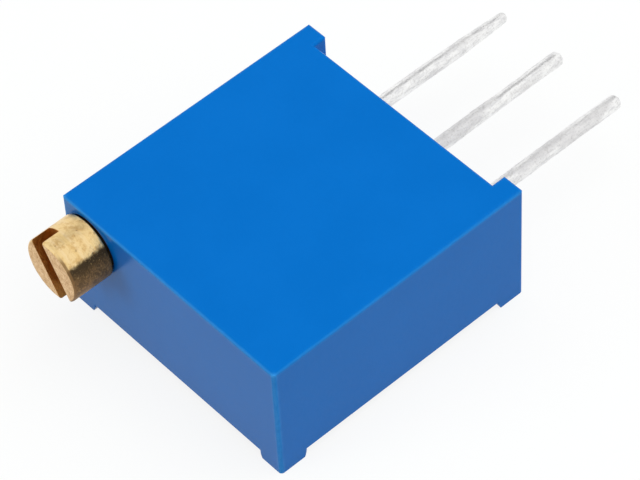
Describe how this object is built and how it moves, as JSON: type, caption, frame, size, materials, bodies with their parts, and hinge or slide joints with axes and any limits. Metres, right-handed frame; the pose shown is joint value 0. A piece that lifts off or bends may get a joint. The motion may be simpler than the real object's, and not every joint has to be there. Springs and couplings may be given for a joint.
{
  "type": "trimmer potentiometer",
  "caption": "Square multi-turn trimmer potentiometer with a slotted side screw, a worm-driven wiper and in-line terminals.",
  "frame": {"origin": "axis of the middle terminal, on the plane where the standoffs meet the board", "axes": "+X across the three terminals from terminal 1 to terminal 3, +Y along the terminals into the board, +Z out of the broad front face; the part lies on its four back feet"},
  "size_m": [0.0096, 0.0179, 0.0048],
  "materials": {
    "blue_moulding": "semi-matt moulded thermoset, bright blue",
    "turned_brass": "as turned, with fine lines",
    "seal_rubber": "smooth black",
    "spring_steel": "stamped",
    "rotor_nylon": "natural white moulding",
    "contact_alloy": "stamped spring sheet",
    "alumina": "fired, matt white",
    "resistive_film": "printed and fired, dark",
    "conductor_film": "printed and fired silver",
    "tinned_wire": "dull hot-tinned, slightly uneven",
    "solder": "dull solder",
    "sealing_resin": "cast resin, slightly glossy"
  },
  "bodies": {
    "case": {"housing": "blue_moulding", "screw_retainer": "spring_steel", "substrate": "alumina", "resistive_track": "resistive_film", "collector_track": "conductor_film", "end_pad_1": "conductor_film", "end_pad_3": "conductor_film", "terminal_1": "tinned_wire", "terminal_2": "tinned_wire", "terminal_3": "tinned_wire", "solder_joint_1": "solder", "solder_joint_2": "solder", "solder_joint_3": "solder", "back_seal": "sealing_resin"},
    "screw": {"adjusting_screw": "turned_brass", "o_ring": "seal_rubber"},
    "rotor": {"rotor": "rotor_nylon", "wiper": "contact_alloy"}
  },
  "joints": [
    {"name": "screw_turn", "type": "hinge", "parent": "case", "child": "screw", "pos_m": [-0.00357, -0.01003, 0.00147], "axis": [0, 1, 0], "range_deg": [-4500, 4500]},
    {"name": "rotor_turn", "type": "hinge", "parent": "case", "child": "rotor", "pos_m": [0, -0.00526, 0.00147], "axis": [0, 0, 1], "range_deg": [-140.62, 140.62]}
  ],
  "couplings": [
    {"joint": "rotor_turn", "follows": "screw_turn", "ratio": 0.03125}
  ]
}
